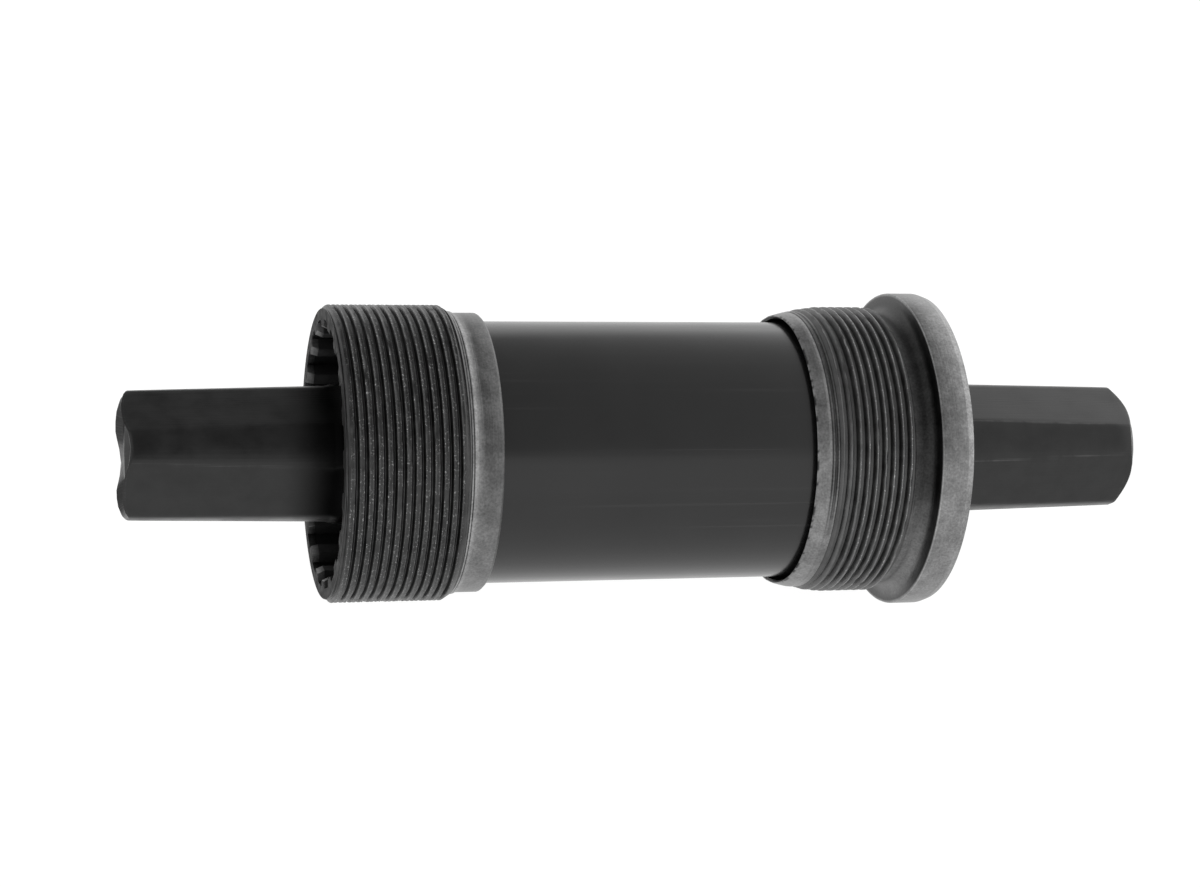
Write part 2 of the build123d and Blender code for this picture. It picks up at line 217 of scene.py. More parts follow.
class Lathe:
    """A mesh of rings round the X axis, whose vertices all lie at the same angles."""

    def __init__(self, angles):
        self.angles = angles
        self.mesh = bmesh.new()
        self.edge = self.mesh.verts.layers.float.new("edge")

    def vertex(self, x, r, angle, edge):
        vert = self.mesh.verts.new(on_axis_circle(x, r, angle))
        vert[self.edge] = edge
        return vert

    def ring(self, x, r, edge=PLAIN):
        """A ring at x. r and edge are numbers, or functions of the angle."""
        return [
            self.vertex(x, r(a) if callable(r) else r, a, edge(a) if callable(edge) else edge)
            for a in self.angles
        ]

    def band(self, ring_a, ring_b, slot=0):
        """Faces between two rings."""
        count = len(ring_a)
        for i in range(count):
            j = (i + 1) % count
            face = self.mesh.faces.new((ring_a[i], ring_a[j], ring_b[j], ring_b[i]))
            face.material_index = slot

    def outline(self, points, slot=0):
        """Rings through (x, r, edge) points and the faces between them. Returns the last ring."""
        last = None
        for point in points:
            ring = self.ring(*point)
            if last:
                self.band(last, ring, slot)
            last = ring
        return last

    def close(self, ring, slot=0):
        """A single face across the axis."""
        self.mesh.faces.new(ring).material_index = slot

    def thread(self, helix, slot):
        """The surface of a helix, from one plain ring to another.

        It runs two turns past both ends, where Helix.at holds it to the ring.
        """
        turns = ceil((helix.end_x - helix.start_x) / helix.pitch)
        columns = [
            (k + share, height) for k in range(-2, turns + 2) for share, height in helix.profile
        ]
        rows = []
        for angle in self.angles + [self.angles[0] + FULL_TURN]:
            row = []
            for share, height in columns:
                x, r, height = helix.at(share, height, angle)
                row.append(self.vertex(x, r, angle, height))
            rows.append(row)
        for row, following in zip(rows, rows[1:]):
            for j in range(len(columns) - 1):
                face = self.mesh.faces.new((row[j], following[j], following[j + 1], row[j + 1]))
                face.material_index = slot

    def piece(self, name, materials, body, node, sharp=SHARP):
        """Finishes the object, which stands for a CAD node and rides on its body."""
        bmesh.ops.remove_doubles(self.mesh, verts=self.mesh.verts, dist=WELD)
        bmesh.ops.recalc_face_normals(self.mesh, faces=self.mesh.faces)
        for face in self.mesh.faces:
            face.smooth = True
        for line in self.mesh.edges:
            line.smooth = line.is_manifold and line.calc_face_angle(0) < sharp
        data = bpy.data.meshes.new(name)
        self.mesh.to_mesh(data)
        self.mesh.free()
        for material in materials:
            data.materials.append(material)
        obj = bpy.data.objects.new(name, data)
        bpy.context.scene.collection.objects.link(obj)
        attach(obj, body)
        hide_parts(node)


def nicks(x, angle):
    """Small dents that handling leaves in a thread's crests, as a share of its height."""
    place = Vector((
        x * NICK_ALONG,
        THREAD_R * cos(angle) * NICK_AROUND,
        THREAD_R * sin(angle) * NICK_AROUND,
    ))
    dents = max(0.0, noise.noise(place) - NICK_LEVEL) * NICK_DEPTH
    ripple = noise.noise(place * RIPPLE_SCALE) * RIPPLE_DEPTH
    return dents + ripple


class Helix:
    """A thread between start_x and end_x. hand is 1 for right-hand and -1 for left-hand.

    profile gives (share of the pitch, height) points with the crest at half a pitch, and limit(x) is
    the greatest height at x, both as shares of depth. A crest passes through crest_x on the side that
    faces the camera.
    """

    def __init__(self, start_x, end_x, hand, profile, limit, crest_x, root_r=ROOT_R,
                 depth=THREAD_DEPTH, pitch=THREAD_PITCH, worn=True):
        self.start_x = start_x
        self.end_x = end_x
        self.hand = hand
        self.profile = profile
        self.limit = limit
        self.root_r = root_r
        self.depth = depth
        self.pitch = pitch
        self.worn = worn
        crest_share = (crest_x - start_x) / pitch - 0.5
        self.phase = (crest_share - hand * FACING_CAMERA / FULL_TURN) % 1.0

    def at(self, share, height, angle):
        """(x, r, height) of the thread's surface at a share of the pitch and an angle."""
        x = self.start_x + self.pitch * (share + self.phase + self.hand * angle / FULL_TURN)
        x = min(max(x, self.start_x), self.end_x)
        height = max(0.0, min(height, self.limit(x)))
        if self.worn:
            height -= nicks(x, angle) * height
        return x, self.root_r + self.depth * height, height


def socket_radius(angle):
    """Wall of a tool socket: teeth that stand in from its root circle."""
    share = FULL_TURN / SPLINE_COUNT
    off_centre = abs((angle + share / 2) % share - share / 2)
    rise = (off_centre - SPLINE_TIP_HALF) / (SPLINE_ROOT_HALF - SPLINE_TIP_HALF)
    return SPLINE_TIP_R + (SPLINE_ROOT_R - SPLINE_TIP_R) * clamped(rise)


def mouth_radius(angle):
    """A socket's wall where its teeth are chamfered at the mouth."""
    return max(socket_radius(angle), SPLINE_TIP_R + MOUTH_CHAMFER)


def front_wear_and_sheen(back_value, lit_value):
    """A function of the angle, from the first value round the back to the second at the lower front. In
    a colour: painted reflection at the front, partly stain and partly painted shade at the back.
    """

    def value(angle):
        off_front = abs(angle - FRONT_BAND_MIDDLE)
        return back_value + (lit_value - back_value) * clamped((FRONT_BAND_HALF - off_front) / FRONT_BAND_FADE)

    return value


def noise_round(angle, layer, scale):
    """Noise that meets itself round the turn. Every layer is another one."""
    return noise.noise(Vector((cos(angle), sin(angle), layer)) * scale)


def ragged(r):
    """A radius that wavers a little round the turn, as where a coat has chipped."""
    return lambda angle: r + noise_round(angle, 0.3, RAGGED_SCALE) * RAGGED_DEPTH


def chipped(angle):
    """Edge value of a rim that the dark coat still covers here and there."""
    return COATED_EDGE if noise_round(angle, 0.7, CHIP_SCALE) < CHIP_LEVEL else BARE_EDGE


def arc(centre_x, centre_r, radius, start, end, steps, edge=PLAIN):
    """(x, r, edge) points along an arc; angles are from +x towards +r."""
    points = []
    for i in range(steps + 1):
        angle = start + (end - start) * i / steps
        points.append((centre_x + radius * cos(angle), centre_r + radius * sin(angle), edge))
    return points


# Pieces


# Thread profiles, as (share of the pitch, height) points. The adapter's crests are slightly hollow.
BROAD_CREST = [
    (0.0, 0.0), (0.05, 0.04), (0.15, 0.55), (0.21, 0.88), (0.26, 1.0), (0.31, 0.99), (0.39, 0.93),
    (0.5, 0.91), (0.61, 0.93), (0.69, 0.99), (0.74, 1.0), (0.79, 0.88), (0.85, 0.55), (0.95, 0.04),
]
NARROW_CREST = [
    (0.0, 0.0), (0.14, 0.02), (0.28, 0.45), (0.39, 0.9), (0.45, 1.0),
    (0.55, 1.0), (0.61, 0.9), (0.72, 0.45), (0.86, 0.02),
]
SHARP_CREST = [(0.0, 0.0), (0.1, 0.05), (0.42, 0.95), (0.5, 1.0), (0.58, 0.95), (0.9, 0.05)]


def socket(lathe, bottom_x, mouth_x, lip_x, outwards):
    """Splined tool socket from the lip's bore out to the chamfered mouth, which is bare metal.

    outwards is the mouth's side, -1 or 1. Returns the rings at the lip and the mouth.
    """
    chamfer_x = mouth_x - outwards * MOUTH_CHAMFER_LENGTH
    lip = lathe.ring(lip_x, CUP_LIP_R, PLAIN)
    rings = [
        lip,
        lathe.ring(bottom_x, CUP_LIP_R, PLAIN),
        lathe.ring(bottom_x, socket_radius, 0.2),
        lathe.ring(chamfer_x, socket_radius, 0.1),
    ]
    for ring, following in zip(rings, rings[1:]):
        lathe.band(ring, following, BLACK)
    mouth = lathe.ring(mouth_x, mouth_radius, 0.3)
    lathe.band(rings[-1], mouth)
    return lip, mouth


def adapter_cup(metal, threaded, black):
    """Left cup: a thread, two turned lines and a plain collar outside, and the sleeve's seat inside."""
    lathe = Lathe(angles_for_splines())
    start_x = ADAPTER_OUTER_X + ADAPTER_FACE
    end_x = ADAPTER_INNER_X - COLLAR_LENGTH
    root_r = ROOT_R + GROOVE_FILL
    bore_r = SLEEVE_R + SLEEVE_CLEARANCE
    lip_x = SLEEVE_LEFT_X - SLEEVE_CLEARANCE
    lip, mouth = socket(lathe, lip_x - ADAPTER_LIP, ADAPTER_OUTER_X, lip_x, -1)
    rim = lathe.ring(ADAPTER_OUTER_X, ROOT_R + 0.2, PLAIN)
    lathe.band(mouth, rim, BLACK)
    lathe.outline([
        (ADAPTER_OUTER_X, ROOT_R + 0.2, PLAIN),
        (ADAPTER_OUTER_X + 0.08, ROOT_R + 0.22, PLAIN),
        (start_x, root_r, 0.1),
    ], THREAD)
    lathe.thread(Helix(
        start_x, end_x, 1, BROAD_CREST,
        lambda x: min((x - start_x) / 0.35, (end_x - x) / 0.8),
        ADAPTER_OUTER_X + ADAPTER_FIRST_CREST, root_r, THREAD_R - root_r,
    ), THREAD)
    inside = lathe.outline([
        (end_x, root_r, 0.1),
        # First turned line
        (end_x + 0.06, ROOT_R - 0.12, 0.1),
        (end_x + 0.12, ROOT_R - 0.02, 0.8),
        (end_x + 0.3, ROOT_R - 0.02, 0.8),
        # Second turned line
        (end_x + 0.36, ROOT_R - 0.13, 0.1),
        (end_x + 0.44, ROOT_R - 0.06, 0.8),
        (end_x + 0.62, ROOT_R - 0.06, 0.8),
        # Collar, to its chamfered end, lightened at the lower front by a painted reflection; its darker
        # back is partly stain, partly painted shade
        (end_x + 0.95, COLLAR_R, front_wear_and_sheen(0.38, 0.46)),
        (end_x + 1.7, COLLAR_R, front_wear_and_sheen(0.27, 0.42)),
        (ADAPTER_INNER_X - 0.3, COLLAR_R, front_wear_and_sheen(0.27, 0.42)),
        (ADAPTER_INNER_X - 0.22, COLLAR_R - 0.03, 0.2),
        (ADAPTER_INNER_X, COLLAR_R - 0.24, 0.2),
        (ADAPTER_INNER_X, bore_r + 0.05, PLAIN),
        (ADAPTER_INNER_X - 0.05, bore_r, PLAIN),
    ])
    bore = lathe.ring(lip_x, bore_r)
    lathe.band(inside, bore, BLACK)
    lathe.band(bore, lip, BLACK)
    lathe.piece("adapter_cup_turned", [metal, threaded, black],
                "adapter_cup", "adapter_cup")


def fixed_cup(metal, threaded, black):
    """Right cup: a flange, a relief, a thread and a plain nose that the sleeve enters."""
    lathe = Lathe(angles_for_splines())
    start_x = NOSE_X + NOSE_LENGTH
    end_x = FLANGE_X - RELIEF_LENGTH
    bore_end_x = NOSE_X + NOSE_BORE_DEPTH
    lip, mouth = socket(lathe, SLEEVE_RIGHT_X + FIXED_LIP, FLANGE_OUTER_X, SLEEVE_RIGHT_X, 1)
    bevel_r = FLANGE_R - FLANGE_BEVEL
    bevel_x = FLANGE_OUTER_X - FLANGE_BEVEL_LENGTH
    rim = lathe.ring(FLANGE_OUTER_X, bevel_r - 0.08, 0.6)
    lathe.band(mouth, rim)
    lathe.outline([
        # Bevel
        (FLANGE_OUTER_X, bevel_r - 0.08, 0.6),
        (FLANGE_OUTER_X - 0.05, bevel_r + 0.02, 0.7),
        (bevel_x + 0.1, FLANGE_R - 0.04, 0.7),
        (bevel_x - 0.06, FLANGE_R, 0.6),
        # Rim and its inner edge
        (FLANGE_X + 0.22, FLANGE_R, PLAIN),
        (FLANGE_X + 0.07, FLANGE_R - 0.05, 0.95),
        (FLANGE_X, FLANGE_R - 0.16, 0.6),
        (FLANGE_X, FLANGE_R - 0.4, 0.1),
        # Relief, darkest in the fillet by the flange as painted shade and partly stain, lightened at
        # the lower front by a painted reflection
        *arc(FLANGE_X - RELIEF_FILLET, RELIEF_R + RELIEF_FILLET, RELIEF_FILLET, 0, -pi / 2, 10,
             front_wear_and_sheen(0.05, 0.32)),
        (end_x + 0.3, RELIEF_R, front_wear_and_sheen(0.12, 0.5)),
        (end_x + 0.12, RELIEF_R + 0.05, front_wear_and_sheen(0.12, 0.5)),
        (end_x, ROOT_R, 0.1),
    ])
    lathe.thread(Helix(
        start_x, end_x, -1, NARROW_CREST,
        lambda x: min((x - start_x) / 0.7, 0.45 + (x - start_x) / 5, (end_x - x) / 0.45),
        NOSE_X + FIXED_FIRST_CREST,
    ), THREAD)
    lathe.outline(run_in_lines(start_x))
    mouth_depth = NOSE_MOUTH_R - NOSE_BORE_R
    lathe.outline([
        (start_x - RUN_IN_LINES * RUN_IN_PITCH, ROOT_R, 0.6),
        (NOSE_X + NOSE_TAPER * 0.6, ROOT_R - (ROOT_R - NOSE_R) * 0.36, PLAIN),
        (NOSE_X + 0.28, NOSE_R + 0.08, 0.55),
        (NOSE_X + 0.06, ragged(NOSE_R), chipped),
        (NOSE_X, ragged(NOSE_R - 0.04), chipped),
        (NOSE_X, NOSE_MOUTH_R, 0.2),
        (NOSE_X + mouth_depth, NOSE_BORE_R, 0.1),
    ])
    bore = lathe.outline([
        (NOSE_X + mouth_depth, NOSE_BORE_R, PLAIN),
        (bore_end_x, NOSE_BORE_R, PLAIN),
        (bore_end_x, SLEEVE_R, PLAIN),
        (SLEEVE_RIGHT_X, SLEEVE_R, PLAIN),
    ], BLACK)
    lathe.band(bore, lip, BLACK)
    lathe.piece("fixed_cup_turned", [metal, threaded, black],
                "cartridge", "fixed_cup")


def run_in_lines(thread_x):
    """Shallow turned lines between the plain nose and the thread, worn away at the front, where a
    painted reflection lightens them.

    Gives (x, r, edge) points.
    """
    points = [(thread_x, ROOT_R, 0.1)]
    for i in range(RUN_IN_LINES):
        x = thread_x - RUN_IN_PITCH * i
        ridge_edge = front_wear_and_sheen(0.34, 0.45)
        groove_r = front_wear_and_sheen(ROOT_R - 0.06, ROOT_R)
        groove_edge = front_wear_and_sheen(0.1, 0.42)
        points += [
            (x - 0.1, front_wear_and_sheen(ROOT_R + 0.09, ROOT_R + 0.02), ridge_edge),
            (x - 0.24, front_wear_and_sheen(ROOT_R + 0.07, ROOT_R + 0.02), ridge_edge),
            (x - 0.33, groove_r, groove_edge),
            (x - RUN_IN_PITCH + 0.04, groove_r, groove_edge),
        ]
    points[-1] = (thread_x - RUN_IN_PITCH * RUN_IN_LINES, ROOT_R, 0.6)
    return points


def cartridge_sleeve(coat):
    """The tube between the cups, open to its bearings at the right and turned in at the left."""
    lathe = Lathe(even_angles(SLEEVE_SEGMENTS))
    outside = lathe.outline([
        (SLEEVE_LEFT_X, CUP_LIP_R, PLAIN),
        (SLEEVE_LEFT_X, SLEEVE_R - SLEEVE_ROUNDING, PLAIN),
        *arc(SLEEVE_LEFT_X + SLEEVE_ROUNDING, SLEEVE_R - SLEEVE_ROUNDING, SLEEVE_ROUNDING,
             pi, pi / 2, 5),
        (SLEEVE_LEFT_X + SLEEVE_END, SLEEVE_R, PLAIN),
        (SLEEVE_RIGHT_X - SLEEVE_END, SLEEVE_R, PLAIN),
        (SLEEVE_RIGHT_X, SLEEVE_R, PLAIN),
        (SLEEVE_RIGHT_X, BEARING_R, PLAIN),
        (LEFT_SEAT_X, BEARING_R, PLAIN),
        (LEFT_SEAT_X, CUP_LIP_R, PLAIN),
    ])
    inner = lathe.ring(SLEEVE_LEFT_X, CUP_LIP_R, PLAIN)
    lathe.band(outside, inner)
    lathe.piece("cartridge_sleeve_coated", [coat],
                "cartridge", "cartridge_sleeve")


# Spindle


def flat_height(x):
    """Height of the milled flats above the axis at x, where the flats rise to the round shaft too."""
    if x >= TAPER_X:
        return TAPER_TIP_H + (TIP_X - x) * tan(TAPER_LEAN)
    base_h = TAPER_TIP_H + (TIP_X - TAPER_X) * tan(TAPER_LEAN)
    swing = min((TAPER_X - x) / RUNOUT_R + sin(TAPER_LEAN), 1.0)
    return base_h + RUNOUT_R * (cos(TAPER_LEAN) - sqrt(1 - swing * swing))


def soft_least(a, b):
    """The lesser of two radii, rounded where they meet, and how near the edge it is, up to 1."""
    least = min(a, b)
    gap = abs(a - b)
    rounded = least - EDGE_ROUNDING * log(1 + exp(-gap / EDGE_ROUNDING))
    return rounded, exp(-gap / EDGE_WEAR)


def square_angles(flat_half):
    """Angles of a ring whose four flats each take up flat_half to either side, in radians."""
    across_flat = [-1, -0.95, -0.85, -0.5, 0, 0.5, 0.85, 0.95, 1]
    across_corner = [0.06, 0.18, 0.5, 0.82, 0.94]
    corner = pi / 2 - 2 * flat_half
    angles = []
    for quarter in range(4):
        middle = quarter * pi / 2
        angles += [middle + flat_half * t for t in across_flat]
        angles += [middle + flat_half + corner * t for t in across_corner]
    return angles


def tip_lag(side, x, off_flat, flat_half):
    """How far the surface at x falls short of it, near a corner of the forged tip."""
    nearness = clamped((x - TIP_X + TIP_LAG_START) / TIP_LAG_RISE)
    flat = flat_half * TIP_LAG_FLAT
    share = clamped((abs(off_flat) - flat) / (pi / 4 - flat))
    return TIP_LAG[side] * nearness * share * share * (3 - 2 * share)


def spindle_ring(lathe, side, x, cone_r, edge):
    """A ring of the spindle at x on the drive side, mirrored if side is -1."""
    height = flat_height(x)
    flat_half = max(acos(min(1.0, height / cone_r)), LEAST_FLAT_HALF)
    ring = []
    for angle in square_angles(flat_half):
        off_flat = (angle + pi / 4) % (pi / 2) - pi / 4
        r, nearness = soft_least(cone_r, height / cos(off_flat))
        worn = max(edge, PLAIN + 0.5 * nearness) if height < cone_r else edge
        place = x - tip_lag(side, x, off_flat, flat_half)
        ring.append(lathe.vertex(side * place, r, angle, worn))
    return ring


def spindle_outline(side, inner_race_x, outer_race_x):
    """(x, cone radius, edge) of one side's turned shape, from the waist to the tip."""
    shoulder_x = inner_race_x - SHOULDER_WIDTH
    groove_x = outer_race_x + RING_GROOVE_WIDTH
    runout_x = TAPER_X - RUNOUT_LENGTH
    chamfer_x = TIP_X - TIP_CHAMFER_LENGTH[side]
    points = [
        (shoulder_x - SHOULDER_CHAMFER, SHAFT_R, PLAIN),
        (shoulder_x, SHOULDER_R, PLAIN),
        (inner_race_x, SHOULDER_R, PLAIN),
        (inner_race_x, JOURNAL_R, PLAIN),
        (outer_race_x, JOURNAL_R, PLAIN),
        (outer_race_x, RING_GROOVE_R, PLAIN),
        (groove_x, RING_GROOVE_R, PLAIN),
        (groove_x, SHAFT_R, PLAIN),
    ]
    steps = 22
    for i in range(steps + 1):
        x = runout_x + (TAPER_X - runout_x) * i / steps
        blend = max(0.0, x - TAPER_X + CORNER_BLEND) / CORNER_BLEND
        points.append((x, SHAFT_R - (SHAFT_R - CORNER_BASE_R) * blend, PLAIN))
    steps = 12
    for i in range(1, steps + 1):
        share = i / steps
        points.append((TAPER_X + (chamfer_x - 0.1 - TAPER_X) * share,
                       CORNER_BASE_R - (CORNER_BASE_R - CORNER_TIP_R) * share, PLAIN))
    points += [
        (chamfer_x - 0.03, CORNER_TIP_R - 0.02, 0.8),
        (chamfer_x + 0.03, CORNER_TIP_R - 0.06, 0.8),
    ]
    steps = 6
    for i in range(1, steps + 1):
        share = i / steps * 0.95
        points.append((chamfer_x + TIP_CHAMFER_LENGTH[side] * share,
                       CORNER_TIP_R - TIP_CHAMFER[side] * share, 0.65))
    points.append((TIP_X, CORNER_TIP_R - TIP_CHAMFER[side] - 0.06, 0.9))
    return points


def spindle(steel):
    """Both halves, from the waist out to the tip and back down the bolt hole."""
    lathe = Lathe(square_angles(HOLE_FLAT_HALF))
    waist_rings = []
    for side, name in ((-1, "left"), (1, "right")):
        low, high = node_span(f"{name}_bearing_inner_race")
        inner_x, outer_x = sorted((abs(low), abs(high)))
        last = None
        for x, cone_r, edge in spindle_outline(side, inner_x, outer_x):
            ring = spindle_ring(lathe, side, x, cone_r, edge)
            if last:
                lathe.band(last, ring)
            else:
                waist_rings.append(ring)
            last = ring
        hole_x = TIP_X - COUNTERSINK_DEPTH
        hole_end_x = hole_x - BOLT_THREAD_LENGTH
        face_x = TIP_X - TIP_DISH[side]
        hole = [
            (face_x, COUNTERSINK_R + 0.08, 0.9),
            (face_x - 0.08, COUNTERSINK_R - TIP_DISH[side], 0.8),
            (hole_x, BOLT_THREAD_R, PLAIN),
        ]
        for x, r, edge in hole:
            ring = lathe.ring(side * x, r, edge)
            lathe.band(last, ring)
            last = ring
        thread_x = sorted((side * hole_x, side * hole_end_x))
        lathe.thread(Helix(
            thread_x[0], thread_x[1], 1, SHARP_CREST,
            lambda x, ends=thread_x: min((x - ends[0]) / 0.5, (ends[1] - x) / 0.5),
            thread_x[0] + BOLT_PITCH, BOLT_THREAD_R, BOLT_MINOR_R - BOLT_THREAD_R,
            BOLT_PITCH, False,
        ), 0)
        bottom = lathe.outline([
            (side * hole_end_x, BOLT_THREAD_R, 0.2),
            (side * (hole_end_x - BOLT_THREAD_END), BOLT_MINOR_R, 0.2),
            (side * (TIP_X - BOLT_HOLE_DEPTH), BOLT_MINOR_R, 0.2),
            (side * (TIP_X - BOLT_HOLE_DEPTH - DRILL_POINT), DRILL_POINT_R, 0.2),
        ])
        lathe.close(bottom)
    lathe.band(waist_rings[0], waist_rings[1])
    lathe.piece("spindle_ground", [steel], "spindle", "spindle", SPINDLE_SHARP)


# Materials


class Recipe:
    """A procedural material. steady holds shader values that are the same all over the surface."""

    def __init__(self, name, steady):
        self.material = bpy.data.materials.new(name)
        self.material.use_nodes = True
        self.nodes = self.material.node_tree.nodes
        self.links = self.material.node_tree.links
        self.shader = self.nodes["Principled BSDF"]
        for socket_name, value in steady.items():
            self.shader.inputs[socket_name].default_value = value
        self.object_place = self.nodes.new("ShaderNodeTexCoord").outputs["Object"]

    def put(self, target, value):
        """Links a socket to another, or sets it to a number."""
        if isinstance(value, bpy.types.NodeSocket):
            self.links.new(value, target)
        else:
            target.default_value = value

    def maths(self, operation, a, b=0.0, c=0.0):
        node = self.nodes.new("ShaderNodeMath")
        node.operation = operation
        for target, value in zip(node.inputs, (a, b, c)):
            self.put(target, value)
        return node.outputs[0]

    def vector(self, operation, a, b=None):
        node = self.nodes.new("ShaderNodeVectorMath")
        node.operation = operation
        self.put(node.inputs[0], a)
        if b is not None:
            self.put(node.inputs[1], b)
        return node.outputs["Value" if operation == "DOT_PRODUCT" else "Vector"]

    def stretched(self, along, around):
        """Coordinates that vary by along per millimetre of x, and by around per radian."""
        radial = self.vector("MULTIPLY", self.object_place, (0, 1, 1))
        unit = self.vector("NORMALIZE", radial)
        turned = self.vector("MULTIPLY", unit, (around, around, around))
        axial = self.vector("MULTIPLY", self.object_place, (along / MM, 0, 0))
        return self.vector("ADD", turned, axial)

    def scaled(self, per_mm):
        """Object coordinates, per_mm units to the millimetre."""
        return self.vector("MULTIPLY", self.object_place, (per_mm / MM,) * 3)

    def noise(self, place, detail=3.0, roughness=0.55):
        node = self.nodes.new("ShaderNodeTexNoise")
        node.inputs["Scale"].default_value = 1.0
        node.inputs["Detail"].default_value = detail
        node.inputs["Roughness"].default_value = roughness
        self.put(node.inputs["Vector"], place)
        return node.outputs["Fac"]

    def edge(self):
        node = self.nodes.new("ShaderNodeAttribute")
        node.attribute_name = "edge"
        return node.outputs["Fac"]

    def span(self, value, low, high, to_low, to_high, smooth=False):
        """Value's stretch from low to high, mapped to another and held at its ends."""
        node = self.nodes.new("ShaderNodeMapRange")
        node.clamp = True
        if smooth:
            node.interpolation_type = "SMOOTHSTEP"
        for target, number in zip(node.inputs, (value, low, high, to_low, to_high)):
            self.put(target, number)
        return node.outputs["Result"]

    def spread(self, texture, to_low, to_high, smooth=False):
        """A noise texture's usual range, mapped to another."""
        return self.span(texture, NOISE_LOW, NOISE_HIGH, to_low, to_high, smooth)

    def colour(self, grey):
        self.put(self.shader.inputs["Base Color"], grey)

    def roughness(self, value):
        self.put(self.shader.inputs["Roughness"], value)

    def bump(self, height, depth_mm):
        node = self.nodes.new("ShaderNodeBump")
        node.inputs["Distance"].default_value = depth_mm * MM
        self.put(node.inputs["Height"], height)
        self.links.new(node.outputs["Normal"], self.shader.inputs["Normal"])


def sleeve_coat():
    """Glossy black coat on a drawn tube, with faint lines along it."""
    recipe = Recipe("sleeve_coat", {"IOR": 1.48})
    drawn = recipe.noise(recipe.stretched(0.02, 26), 4.0)
    mottle = recipe.noise(recipe.scaled(0.12), 2.0)
    grain = recipe.noise(recipe.scaled(5.0), 2.0)
    scuffs = recipe.span(drawn, 0.57, 0.72, 0.003, 0.012, True)
    recipe.colour(recipe.maths("MULTIPLY_ADD", mottle, 0.006, scuffs))
    recipe.roughness(recipe.maths("MULTIPLY_ADD", mottle, 0.12, 0.16))
    recipe.bump(recipe.maths("MULTIPLY_ADD", grain, 0.25, drawn), 0.006)
    return recipe.material


def cup_metal():
    """Turned steel with fine rings round it, dulled by handling and oil, with painted shade in its
    hollows.
    """
    recipe = Recipe("cup_metal", {"Metallic": 1.0})
    turned = recipe.noise(recipe.stretched(9.0, 1.2), 3.0)
    stain = recipe.noise(recipe.scaled(0.35), 4.0, 0.65)
    pits = recipe.noise(recipe.scaled(3.6), 3.0)
    base = recipe.spread(stain, 0.17, 0.27, True)
    base = recipe.maths("MULTIPLY_ADD", recipe.maths("SUBTRACT", turned, 0.5), 0.06, base)
    base = recipe.maths("MULTIPLY", base, recipe.span(pits, 0.3, 0.72, 1.15, 0.7))
    # Wear lightens edges; low edge values darken hollows, the relief most, down to 0.08: painted shade,
    # partly stain
    worn = recipe.maths(
        "MULTIPLY",
        recipe.span(recipe.edge(), 0.6, 1.0, 1.0, 1.5),
        recipe.span(recipe.edge(), 0.0, PLAIN, 0.08, 1.0),
    )
    recipe.colour(recipe.maths("MULTIPLY", base, worn))
    recipe.roughness(recipe.maths("MULTIPLY_ADD", stain, 0.2, 0.3))
    recipe.bump(recipe.maths("MULTIPLY_ADD", pits, 0.6, turned), 0.016)
    return recipe.material


def thread_metal(name, crest_grey, worn):
    """Blackened thread whose crests have rubbed to bare metal, with bright flecks on them.

    worn is how many times brighter the very top of a crest is.
    """
    recipe = Recipe(name, {"Metallic": 1.0})
    height = recipe.edge()
    stain = recipe.noise(recipe.scaled(0.5), 4.0, 0.65)
    flecks = recipe.noise(recipe.scaled(4.5), 3.0, 0.7)
    crest = recipe.span(height, 0.1, 0.9, 0.09, crest_grey, True)
    crest = recipe.maths("MULTIPLY", crest, recipe.span(height, 0.93, 1.0, 1.0, worn))
    crest = recipe.maths("MULTIPLY", crest, recipe.spread(stain, 0.75, 1.25))
    bright = recipe.span(flecks, 0.58, 0.66, 0.0, 0.3, True)
    bright = recipe.maths("MULTIPLY", bright, recipe.span(height, 0.86, 0.98, 0.0, 1.0))
    recipe.colour(recipe.maths("ADD", crest, bright))
    recipe.roughness(recipe.spread(stain, 0.34, 0.5))
    recipe.bump(flecks, 0.03)
    return recipe.material


def socket_black():
    """Dull black coat inside the cups."""
    recipe = Recipe("socket_black", {"IOR": 1.3})
    grime = recipe.noise(recipe.scaled(0.8), 3.0)
    recipe.colour(recipe.maths("MULTIPLY_ADD", grime, 0.006, 0.001))
    recipe.roughness(recipe.spread(grime, 0.5, 0.8))
    recipe.bump(grime, 0.02)
    return recipe.material


def spindle_steel():
    """Blackened steel, ground lengthways and rubbed a little along its edges.

    Painted shade darkens it by the left cup, from outside its mouth to the middle of the sleeve.
    """
    recipe = Recipe("spindle_steel", {"Metallic": 1.0})
    ground = recipe.noise(recipe.stretched(0.03, 40), 3.0)
    mottle = recipe.noise(recipe.scaled(0.3), 4.0, 0.6)
    along = recipe.vector("DOT_PRODUCT", recipe.object_place, (1 / MM, 0, 0))
    # Painted shade by the left cup: 1 clear of it, 0.1 just inside its mouth, and back to 1 at the
    # middle
    lit_value = recipe.maths(
        "MAXIMUM",
        recipe.span(along, ADAPTER_OUTER_X - 6, ADAPTER_OUTER_X + 1.0, 1.0, 0.1, True),
        recipe.span(along, -15.0, 0.0, 0.0, 1.0),
    )
    grey = recipe.maths("MULTIPLY", recipe.spread(mottle, 0.037, 0.045), lit_value)
    wear = recipe.span(recipe.edge(), 0.6, 1.0, 0.0, 0.05)
    wear = recipe.maths("MULTIPLY", wear, recipe.span(ground, 0.52, 0.62, 0.1, 1.0))
    wear = recipe.maths("MULTIPLY", wear, recipe.span(mottle, 0.4, 0.6, 0.2, 1.0))
    recipe.colour(recipe.maths("ADD", grey, wear))
    recipe.roughness(recipe.spread(mottle, 0.3, 0.44))
    recipe.bump(ground, 0.012)
    return recipe.material


